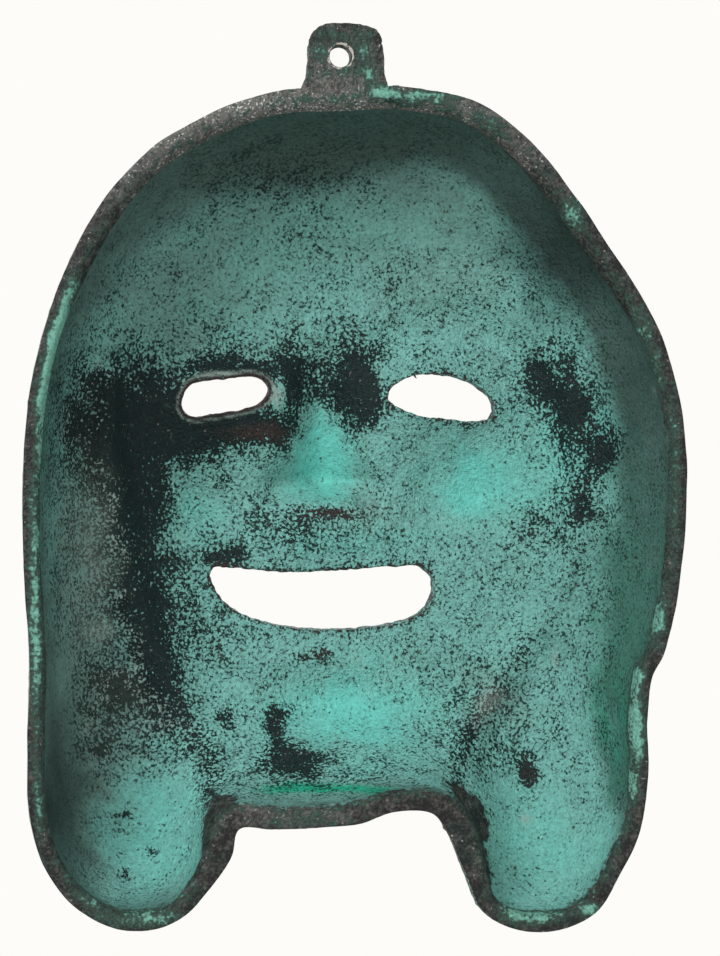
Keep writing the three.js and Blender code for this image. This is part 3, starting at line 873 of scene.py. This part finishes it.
def trails(lines, x, z, wander):
    total = np.zeros(len(x))
    for line in lines:
        stops = np.arange(0, len(line.places) - 0.95, 0.05)
        run = np.column_stack([np.interp(stops, range(len(line.places)), c) for c in zip(*line.places)])
        far = nearest(run, x + 0.8 * wander[0], z + 0.8 * wander[1])[0]
        total += line.strength * bell(far / line.width)
    return total


def wall_shade_zone(x, z, inset, wander):
    """Where painted shade darkens the hollow's steep wall, out to its foot, from 0 to 1. The foot is high
    above and low below.
    """
    foot_above = np.interp(x, [-60, -27, -4, 8, 30, 60], [9.5, 10, 16, 18, 14, 9])
    foot_below = np.where(x > 0, 6, 9.5 - 4 * smooth_step(-118, -136, z))
    foot = mix(foot_below, foot_above, smooth_step(-80, -50, z)) - 3 * smooth_step(-158, -175, z)
    soft = np.interp(x, [-20, 15], [1.6, 4.5])
    return smooth_step(foot + soft, foot - soft, inset + 0.9 * wander)


def finish_values(points, linked):
    """What the finishes depend on, one value for each vertex."""
    x, y, z = points.T
    wander = [1.7 * roughness(points, 0.11, seed) + 0.9 * roughness(points, 0.37, seed) for seed in (11, 12)]
    inset = inset_at(x, z)[0]
    openings = nearest(np.vstack([MOUTH_EDGE, *EYE_EDGES]), x, z)[0]
    out = corner_normals(linked.mesh, points)
    out /= np.maximum(np.linalg.norm(out, axis=1), 1e-6)[:, None]

    def spots(items):
        return blots(items, x, z, wander)

    def standing_out(times, height):
        """How far each vertex stands out of the means round it, as a multiple of a height."""
        return ((points - linked.mean(points, times)) * out).sum(1) / height

    # painted shade: how far each vertex lies on the hollow's steep wall, which the inside darkens; the front
    # reads the same zone as sheltered from rubbing
    wall = wall_shade_zone(x, z, inset, wander[0])
    right_eye = (x > 0) * (z > -90)
    by_rim = bell((inset - rim_width(x, z)) / 1.6)
    top = smooth_step(10, 6, -y + 1.6 * wander[1]) * smooth_step(-66, -50, z)
    rear = 0.7 * smooth_step(-5, -1, y + 1.2 * wander[0])
    cover = 0.98 + 0.1 * wall - spots(BARE) + spots(CLEAN)
    return {
        "cover": cover - trails(BARE_TRAILS, x, z, wander) - 0.4 * bell(openings / 0.9),
        "bright": spots(BRIGHT),
        "emerald": spots(EMERALD),
        "dull": spots(DULL),
        "deep": spots(DEEP),
        "brown": spots(BROWN) + bell(openings / 1.2),
        "pale": spots(PALE) + 0.8 * bell((openings - 1.1) / 0.5) * right_eye,
        # painted shade on the steep wall inside, and shelter from rubbing on the front
        "wall": wall,
        "metal": np.maximum(np.maximum(top, spots(DARK_METAL)), rear),
        "light": spots(LIGHT_BRONZE_AND_GLINTS),
        "stain": (spots(STAIN) + 0.3 * by_rim) * smooth_step(-7, -2.5, y),
        # painted shade and dark patches
        "shade_and_dark_patches": spots(SHADE_AND_DARK_PATCHES),
        # worn bright round the nail hole, with a painted highlight there
        "polish_and_highlight": bell((np.hypot(x, z) - HOLE_RADIUS - 0.35) / 0.4),
        "raised": standing_out(6, 0.1),
        "proud": standing_out(40, 0.6),
    }


# Materials


class Wire:
    """A value on its way between a finish's nodes. Sums with it become Math nodes."""

    def __init__(self, finish, socket):
        self.finish = finish
        self.socket = socket

    def maths(self, operation, one, other):
        return self.finish.add("Math", {"operation": operation}, {0: one, 1: other})

    def __add__(self, other):
        return self.maths("ADD", self, other)

    def __sub__(self, other):
        return self.maths("SUBTRACT", self, other)

    def __rsub__(self, other):
        return self.maths("SUBTRACT", other, self)

    def __mul__(self, other):
        return self.maths("MULTIPLY", self, other)

    __radd__ = __add__
    __rmul__ = __mul__


class Finish:
    """A material under construction."""

    def __init__(self, name):
        self.material = bpy.data.materials.new(name)
        self.material.use_nodes = True
        self.tree = self.material.node_tree
        self.shader = self.tree.nodes["Principled BSDF"]
        self.place = self.add("TexCoord", {}, {}, "Object")

    def add(self, kind, settings, sockets, result=0):
        """A node with its settings and the values or links of its sockets, and the wire out of it."""
        node = self.tree.nodes.new("ShaderNode" + kind)
        for name, value in settings.items():
            setattr(node, name, value)
        self.connect(node, sockets)
        return Wire(self, node.outputs[result])

    def connect(self, node, sockets):
        for name, value in sockets.items():
            if isinstance(value, Wire):
                self.tree.links.new(value.socket, node.inputs[name])
            else:
                node.inputs[name].default_value = value

    def noise(self, per_metre, detail):
        return self.add("TexNoise", {}, {"Vector": self.place, "Scale": per_metre, "Detail": detail})

    def worked(self, name):
        """A value that was worked out for each vertex."""
        return self.add("Attribute", {"attribute_name": name}, {}, "Fac")

    def step(self, value, start, end):
        """0 below start and 1 above end, and smooth between them."""
        sockets = {"Value": value, "From Min": start, "From Max": end}
        return self.add("MapRange", {"interpolation_type": "SMOOTHSTEP"}, sockets)

    def between(self, a, b, share):
        return a + (b - a) * share

    def blend(self, a, b, share):
        """From one colour to another."""
        ends = [value if isinstance(value, Wire) else (*value, 1) for value in (a, b)]
        return self.add("Mix", {"data_type": "RGBA"}, {0: share, 6: ends[0], 7: ends[1]}, 2)

    def shaded(self, colour, value):
        return self.add("VectorMath", {"operation": "SCALE"}, {0: colour, "Scale": value})

    def bump(self, height, strength, depth):
        sockets = {"Height": height, "Strength": strength, "Distance": depth}
        return self.add("Bump", {}, sockets)

    def done(self, **sockets):
        named = {name.replace("_", " "): value for name, value in sockets.items()}
        self.connect(self.shader, {"Specular IOR Level": 0.25, **named})
        return self.material


GREEN = (0.2, 0.485, 0.435)
BRIGHT_GREEN = (0.155, 0.61, 0.54)
EMERALD_GREEN = (0.02, 0.4, 0.25)
MINT_GREEN = (0.18, 0.44, 0.35)
DULL_GREEN = (0.18, 0.3, 0.27)
DEEP_GREEN = (0.06, 0.18, 0.14)
# painted shade: the dark green of the hollow's steep walls
WALL_SHADE_GREEN = (0.07, 0.108, 0.096)
PALE_GREEN = (0.36, 0.46, 0.42)
THIN_GREEN = (0.042, 0.08, 0.065)
SPECK_GREEN = (0.024, 0.075, 0.065)
DUSTY_GREEN = (0.042, 0.066, 0.056)
DARK_BRONZE = (0.0115, 0.0265, 0.0265)
BROWN_BRONZE = (0.047, 0.035, 0.033)
LIGHT_SPECK = (0.2, 0.18, 0.17)
RUBBED_BRONZE = (0.085, 0.06, 0.042)
BRIGHT_BRONZE = (0.68, 0.64, 0.58)
DARK_GRAIN = (0.014, 0.0175, 0.0175)
LIGHT_GRAIN = (0.2, 0.197, 0.183)
# painted highlights: the white of glints on the ground metal
GLINT = (0.6, 0.62, 0.6)
BROWN_TINGE = (0.045, 0.034, 0.031)
GREEN_TINGE = (0.033, 0.062, 0.052)

# How many waves of a noise go to a metre
GRAIN = 2600
SPECKS = 1300


def worms(finish, cover):
    """Where the green lies, from 0 to 1 over the crisp edges of worms and specks, and how thickly."""
    curls = finish.add("Math", {"operation": "ABSOLUTE"}, {0: finish.noise(1050, 1) - 0.5})
    pattern = 0.8 * finish.noise(1400, 1) + 1.3 * curls
    edge = 0.76 - 0.42 * (cover + 0.9 * finish.noise(190, 3) - 0.45)
    return finish.step(pattern, edge - 0.06, edge + 0.05), finish.step(pattern, edge, edge + 0.25)


def grained(finish, colour, grain):
    """Bare metal in fine grains."""
    return finish.shaded(colour, 0.2 + 0.8 * grain + 0.8 * finish.noise(SPECKS, 2))


def mottled(finish):
    """Dull bronze in dark and light grains, with a few white grains painted as glints."""
    tone = 0.5 * finish.noise(380, 3) + 0.5 * finish.noise(SPECKS, 2) + 0.2 * finish.worked("light")
    metal = finish.blend(DARK_GRAIN, LIGHT_GRAIN, finish.step(tone, 0.42, 0.8))
    tinge = finish.blend(BROWN_TINGE, GREEN_TINGE, finish.step(finish.noise(160, 2), 0.4, 0.62))
    metal = finish.blend(metal, tinge, 0.25)
    # painted glints, more of them where the metal is lighter
    return finish.blend(metal, GLINT, finish.step(finish.noise(2100, 1) + 0.5 * tone, 0.97, 1.1))


def stained(finish, metal):
    """The metal with its green stains, dull where they are thin and like mint where they are thick."""
    stain = finish.worked("stain")
    flakes = stain + 1.4 * finish.noise(480, 3) + 1.3 * finish.noise(1200, 1) - 1.35
    green = finish.blend(THIN_GREEN, MINT_GREEN, finish.step(flakes, 0.6, 1.15))
    green = finish.shaded(green, 0.1 + 1.3 * finish.noise(1500, 2) + 0.5 * finish.noise(500, 2))
    mask = finish.step(flakes, 0.25, 0.5)
    metal = finish.blend(metal, green, 0.5 * finish.step(stain, 0.1, 0.6))
    return finish.blend(metal, green, mask), mask


def hollow_green(finish, thick, cloud):
    """The green inside the mask: bright in places, dull, deep or pale in others, darkened on the steep walls
    as painted shade, and darker where painted shade and dark patches lie.
    """
    patch = 0.6 * finish.noise(140, 3) - 0.3
    green = finish.blend(GREEN, DULL_GREEN, finish.step(finish.worked("dull") + patch, 0, 1))
    green = finish.blend(green, BRIGHT_GREEN, finish.step(finish.worked("bright") + 0.5 * patch, 0, 1))
    green = finish.blend(green, DEEP_GREEN, finish.step(finish.worked("deep") + patch, 0, 1))
    flecks = 0.8 * finish.step(finish.worked("cover") + patch, 0.75, 0.4)
    green = finish.blend(green, PALE_GREEN, flecks * finish.step(finish.worked("dull"), 0.05, 0.5))
    # painted shade: the steep walls turn dark green
    wall = finish.blend(WALL_SHADE_GREEN, DEEP_GREEN, finish.step(finish.worked("deep") + patch, 0, 0.7))
    green = finish.blend(green, wall, 0.85 * finish.worked("wall"))
    green = finish.blend(green, EMERALD_GREEN, finish.step(finish.worked("emerald") + patch, 0.1, 0.8))
    relief = 0.05 + 0.45 * cloud + 0.85 * finish.noise(SPECKS, 2) + 0.4 * thick
    # darker where painted shade and dark patches lie
    return finish.shaded(green, relief * (1 - 0.5 * finish.worked("shade_and_dark_patches")))


def hollow_bare(finish, cloud, grain):
    """The dark metal inside the mask, with light specks, and green with dust where the green is dull."""
    brown = finish.step(finish.worked("brown") + cloud - 0.5, 0.1, 1)
    bare = finish.blend(DARK_BRONZE, BROWN_BRONZE, brown)
    bare = finish.blend(bare, DUSTY_GREEN, 0.8 * finish.step(finish.worked("dull"), 0.3, 0.8))
    bare = grained(finish, bare, grain)
    bare = finish.blend(bare, LIGHT_SPECK, finish.step(finish.noise(1500, 0), 0.76, 0.84))
    return finish.blend(bare, SPECK_GREEN, 0.6 * finish.step(finish.worked("cover"), 0.6, 1))


def hollow_patina():
    """Verdigris over dark bronze inside the mask."""
    finish = Finish("verdigris_inside")
    mask, thick = worms(finish, finish.worked("cover"))
    cloud = finish.noise(420, 3)
    grain = finish.noise(GRAIN, 2)
    patina = finish.blend(hollow_bare(finish, cloud, grain), hollow_green(finish, thick, cloud), mask)
    pale = finish.step(finish.worked("pale") + 0.7 * grain - 0.35, 0.2, 1.2)
    patina = finish.blend(patina, PALE_GREEN, pale)
    metal = finish.step(finish.worked("metal") + 1.1 * finish.noise(700, 3) - 0.55, 0.35, 0.65)
    patina = finish.blend(patina, mottled(finish), metal)
    height = (0.7 * mask + 0.6 * grain) + finish.noise(SPECKS, 2) + finish.noise(500, 2)
    return finish.done(
        Base_Color=stained(finish, patina)[0],
        Roughness=finish.between(0.5, 0.8, mask),
        Metallic=finish.between(0.25, 0, mask),
        Normal=finish.bump(height, 1, 0.0004),
    )


def front_patina():
    """Verdigris in the recesses of the front, and brown bronze where hands and cloths rub it."""
    finish = Finish("rubbed_verdigris")
    cloud = finish.noise(240, 3)
    grain = finish.noise(GRAIN, 2)
    proud = 0.5 * finish.worked("raised") + 0.7 * finish.worked("proud") + 1.5 * cloud - 0.75
    rubbed = finish.step(proud, 0, 1)
    sheltered = finish.worked("wall") * (1.6 * finish.noise(75, 3) - 0.45)
    mask, thick = worms(finish, 0.98 - 0.85 * rubbed + sheltered)
    green = finish.blend(DULL_GREEN, GREEN, finish.step(finish.noise(90, 2), 0.4, 0.65))
    green = finish.shaded(green, 0.1 + 0.5 * cloud + 0.85 * finish.noise(SPECKS, 2) + 0.3 * thick)
    bare = finish.blend(DARK_BRONZE, RUBBED_BRONZE, finish.step(proud, 0.2, 1.3))
    return finish.done(
        Base_Color=finish.blend(grained(finish, bare, grain), green, mask),
        Roughness=finish.between(0.42, 0.8, mask),
        Metallic=finish.between(0.6, 0, mask),
        Normal=finish.bump(0.5 * mask + 0.6 * grain, 0.8, 0.0003),
    )


def ground_bronze():
    """The ground rim and the lug: dull bronze with green stains, and bright round the hole, where the worn
    metal is painted near white as its highlight.
    """
    finish = Finish("ground_bronze")
    # painted highlight: the worn ring round the hole turns near white
    polish_and_highlight = finish.step(finish.worked("polish_and_highlight") + 2.6 * finish.noise(650, 2) - 1.3, 0.5, 0.8)
    colour, mask = stained(finish, finish.blend(mottled(finish), BRIGHT_BRONZE, polish_and_highlight))
    return finish.done(
        Base_Color=colour,
        Roughness=finish.between(0.5, 0.75, mask),
        Metallic=finish.between(0.25, 0, mask),
        Normal=finish.bump(0.4 * mask + finish.noise(2400, 2) + finish.noise(650, 2), 0.8, 0.0003),
    )


def floor_plaster():
    """A pale floor that fades out before its edge."""
    finish = Finish("pale_floor")
    far = finish.add("VectorMath", {"operation": "LENGTH"}, {0: finish.place}, "Value")
    return finish.done(Base_Color=(0.9, 0.89, 0.86, 1), Roughness=0.9, Alpha=finish.step(far, 1.4, 0.8))


# The pieces, the light and the camera


def shown(name, data):
    """A new object in the scene."""
    thing = bpy.data.objects.new(name, data)
    bpy.context.scene.collection.objects.link(thing)
    return thing


def casting_piece():
    mesh = refined_copy()
    points, linked = work_casting(mesh)
    for name, values in finish_values(points, linked).items():
        mesh.attributes.new(name, "FLOAT", "POINT").data.foreach_set("value", values.astype(np.float32))
    mesh.vertices.foreach_set("co", (points * MM).ravel())
    # For the front, the hollow, the ground rim, the cut edges, the lug and the rest
    material_of = np.array([0, 1, 2, 1, 2, 0])
    regions = values_of(mesh.polygons, "material_index", 1, int)
    mesh.polygons.foreach_set("material_index", material_of[regions].astype(np.int32))
    mesh.shade_smooth()
    mesh.set_sharp_from_angle(angle=math.radians(50))
    for material in (front_patina(), hollow_patina(), ground_bronze()):
        mesh.materials.append(material)
    mesh.update()
    return shown("cast_mask", mesh)


def aim(thing, target):
    thing.rotation_euler = (target - thing.location).to_track_quat("-Z", "Y").to_euler()


def place_camera(target):
    """Looks into the hollow from behind the mask, a little from the side."""
    away = 0.56
    turn = math.radians(8)
    camera = shown("camera", bpy.data.cameras.new("camera"))
    camera.location = target + away * Vector((math.sin(turn), math.cos(turn), 0))
    camera.data.sensor_width = 36
    camera.data.lens = 95.95
    camera.data.clip_start = 0.01
    aim(camera, target)
    bpy.context.scene.camera = camera


def light_studio(target):
    for name, place, watts, size in (
        ("key", (0.55, 0.75, 0.45), 8, 0.5),
        ("fill", (-0.8, 0.5, 0.1), 1.5, 0.6),
        ("front", (-0.5, -0.9, 0.5), 9, 0.6),
        ("front_fill", (0.7, -0.7, -0.1), 3, 0.6),
    ):
        lamp = shown(name, bpy.data.lights.new(name, "AREA"))
        lamp.location = place
        lamp.data.energy = watts
        lamp.data.size = size
        aim(lamp, target)


def floor_disc():
    """The floor, well below the mask, which hangs."""
    disc = bmesh.new()
    bmesh.ops.create_circle(disc, cap_ends=True, segments=96, radius=1.2)
    bmesh.ops.translate(disc, vec=(0, 0, -0.75), verts=disc.verts)
    mesh = bpy.data.meshes.new("floor")
    disc.to_mesh(mesh)
    disc.free()
    mesh.materials.append(floor_plaster())
    return shown("floor", mesh)


def pale_surroundings():
    """Soft light from all sides. The camera sees it as the photo's pale ground, brighter than it lights."""
    world = bpy.data.worlds.new("studio")
    world.use_nodes = True
    bpy.context.scene.world = world
    tree = world.node_tree
    shade = tree.nodes["Background"]
    shade.inputs["Color"].default_value = (0.982, 0.973, 0.939, 1)
    path = tree.nodes.new("ShaderNodeLightPath")
    level = tree.nodes.new("ShaderNodeMapRange")
    level.inputs["To Min"].default_value = 0.4
    level.inputs["To Max"].default_value = 1
    tree.links.new(path.outputs["Is Camera Ray"], level.inputs["Value"])
    tree.links.new(level.outputs[0], shade.inputs["Strength"])
    bpy.context.scene.view_settings.view_transform = "Standard"


piece = casting_piece()
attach(piece, "root")
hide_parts(CASTING)

MASK_MIDDLE = Vector((-4.301, 0, -92.648)) * MM
place_camera(MASK_MIDDLE)
light_studio(MASK_MIDDLE)
floor_disc()
pale_surroundings()
